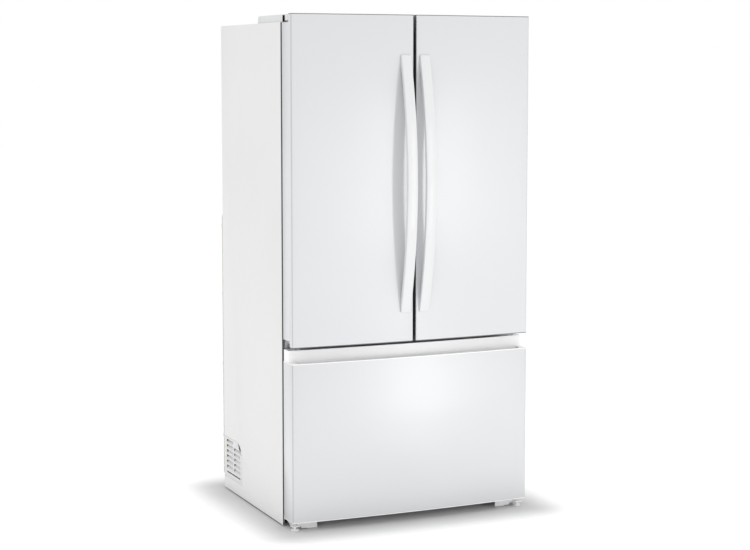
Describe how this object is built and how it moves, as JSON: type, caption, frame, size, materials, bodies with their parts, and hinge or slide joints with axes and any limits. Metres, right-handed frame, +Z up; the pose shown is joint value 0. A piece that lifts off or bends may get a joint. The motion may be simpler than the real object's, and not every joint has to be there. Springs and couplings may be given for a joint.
{
  "type": "french-door bottom-freezer refrigerator",
  "caption": "White French-door refrigerator with bowed vertical handles over a pull-out bottom freezer drawer with a recessed finger groove.",
  "frame": {"origin": "on the floor under the middle of the overall width and depth", "axes": "+X across the front towards the right-hand door, +Y from the doors to the back, +Z up"},
  "size_m": [0.905, 0.8154, 1.772],
  "materials": {
    "door_paint": "satin",
    "panel_paint": "fine textured",
    "frame_paint": "satin",
    "white_wire": "gloss",
    "galvanised": "spangled",
    "dark_steel": "satin",
    "bracket_paint": "satin",
    "foam": "cellular",
    "liner": "gloss",
    "trim": "satin",
    "cap_plastic": "satin",
    "band_plastic": "satin",
    "handle": "satin",
    "seal": "matt",
    "shelf_glass": "clear",
    "clear_plastic": "clear",
    "frosted_plastic": "frosted",
    "basket_plastic": "satin",
    "black_plastic": "satin",
    "copper": "drawn",
    "coil_aluminium": "mill",
    "tube_plastic": "translucent"
  },
  "bodies": {
    "cabinet": {"cabinet_shell": "panel_paint", "front_frame": "frame_paint", "rear_panel": "galvanised", "base_frame": "galvanised", "cabinet_foam": "foam", "fridge_liner": "liner", "freezer_liner": "liner", "door_hinges": "galvanised", "hinge_covers": "trim", "hinge_screws": "galvanised", "foot_brackets": "bracket_paint", "side_vents": "trim", "shelf_frames": "white_wire", "shelf_glass": "shelf_glass", "air_duct_cover": "liner", "control_panel": "trim", "lamp_lens": "frosted_plastic", "evaporator_cover": "liner", "evaporator_coil": "coil_aluminium", "compressor": "dark_steel", "condenser_coil": "copper", "condenser_fan_mount": "black_plastic", "machine_cover": "black_plastic", "water_valve": "trim", "water_tube": "tube_plastic", "rear_fittings": "trim", "freezer_rails": "galvanised", "ice_maker": "liner"},
    "left_door": {"door_left_skin": "door_paint", "door_left_foam": "foam", "door_left_caps": "cap_plastic", "door_left_liner": "liner", "door_left_gasket": "seal", "door_left_bins": "clear_plastic", "door_left_handle": "handle"},
    "right_door": {"door_right_skin": "door_paint", "door_right_foam": "foam", "door_right_caps": "cap_plastic", "door_right_liner": "liner", "door_right_gasket": "seal", "door_right_bins": "clear_plastic", "door_right_handle": "handle"},
    "mullion": {"flipper_mullion": "trim"},
    "drawer": {"drawer_skin": "door_paint", "drawer_foam": "foam", "drawer_pocket": "band_plastic", "drawer_liner": "liner", "drawer_gasket": "seal", "drawer_frame": "galvanised", "lower_basket": "basket_plastic"},
    "slide_members": {"rail_sliders": "galvanised"},
    "freezer_basket": {"upper_basket": "basket_plastic"},
    "crisper_left": {"left_crisper": "clear_plastic"},
    "crisper_right": {"right_crisper": "clear_plastic"},
    "rollers_front": {"front_rollers": "black_plastic"},
    "rollers_rear": {"rear_rollers": "black_plastic"},
    "foot_left": {"left_foot": "bracket_paint"},
    "foot_right": {"right_foot": "bracket_paint"},
    "fan_cold": {"evaporator_fan": "black_plastic"},
    "fan_hot": {"condenser_fan": "black_plastic"}
  },
  "joints": [
    {"name": "door_left_hinge", "type": "hinge", "parent": "cabinet", "child": "left_door", "pos_m": [-0.4325, -0.28476, 1.2], "axis": [0, 0, -1], "range_deg": [0, 125]},
    {"name": "door_right_hinge", "type": "hinge", "parent": "cabinet", "child": "right_door", "pos_m": [0.4325, -0.28476, 1.2], "axis": [0, 0, 1], "range_deg": [0, 125]},
    {"name": "drawer_slide", "type": "slide", "parent": "cabinet", "child": "drawer", "axis": [0, -1, 0], "range_m": [0, 0.38]},
    {"name": "fan_condenser", "type": "hinge", "parent": "cabinet", "child": "fan_hot", "pos_m": [0.07, 0.27024, 0.115], "axis": [1, 0, 0], "continuous": true},
    {"name": "fan_evaporator", "type": "hinge", "parent": "cabinet", "child": "fan_cold", "pos_m": [0, 0.27624, 0.533], "axis": [0, 1, 0], "continuous": true},
    {"name": "flipper_hinge", "type": "hinge", "parent": "left_door", "child": "mullion", "pos_m": [-0.021, -0.22116, 1.18], "axis": [0, 0, -1], "range_deg": [0, 85]},
    {"name": "foot_left_screw", "type": "slide", "parent": "cabinet", "child": "foot_left", "axis": [0, 0, 1], "range_m": [0, 0.009]},
    {"name": "foot_right_screw", "type": "slide", "parent": "cabinet", "child": "foot_right", "axis": [0, 0, 1], "range_m": [0, 0.009]},
    {"name": "roller_front_spin", "type": "hinge", "parent": "cabinet", "child": "rollers_front", "pos_m": [0, -0.17976, 0.022], "axis": [1, 0, 0], "continuous": true},
    {"name": "roller_rear_spin", "type": "hinge", "parent": "cabinet", "child": "rollers_rear", "pos_m": [0, 0.33024, 0.02], "axis": [1, 0, 0], "continuous": true},
    {"name": "travel_basket_upper", "type": "slide", "parent": "cabinet", "child": "freezer_basket", "axis": [0, -1, 0], "range_m": [0, 0.228]},
    {"name": "travel_crisper_left", "type": "slide", "parent": "cabinet", "child": "crisper_left", "axis": [0, -1, 0], "range_m": [0, 0.2184]},
    {"name": "travel_crisper_right", "type": "slide", "parent": "cabinet", "child": "crisper_right", "axis": [0, -1, 0], "range_m": [0, 0.2184]},
    {"name": "travel_slide_members", "type": "slide", "parent": "cabinet", "child": "slide_members", "axis": [0, -1, 0], "range_m": [0, 0.19]}
  ],
  "couplings": [
    {"joint": "travel_slide_members", "follows": "drawer_slide", "ratio": 0.5},
    {"joint": "travel_basket_upper", "follows": "drawer_slide", "ratio": 0.6},
    {"joint": "travel_crisper_left", "follows": "door_left_hinge", "m_per_rad": 0.1},
    {"joint": "travel_crisper_right", "follows": "door_right_hinge", "m_per_rad": 0.1}
  ]
}
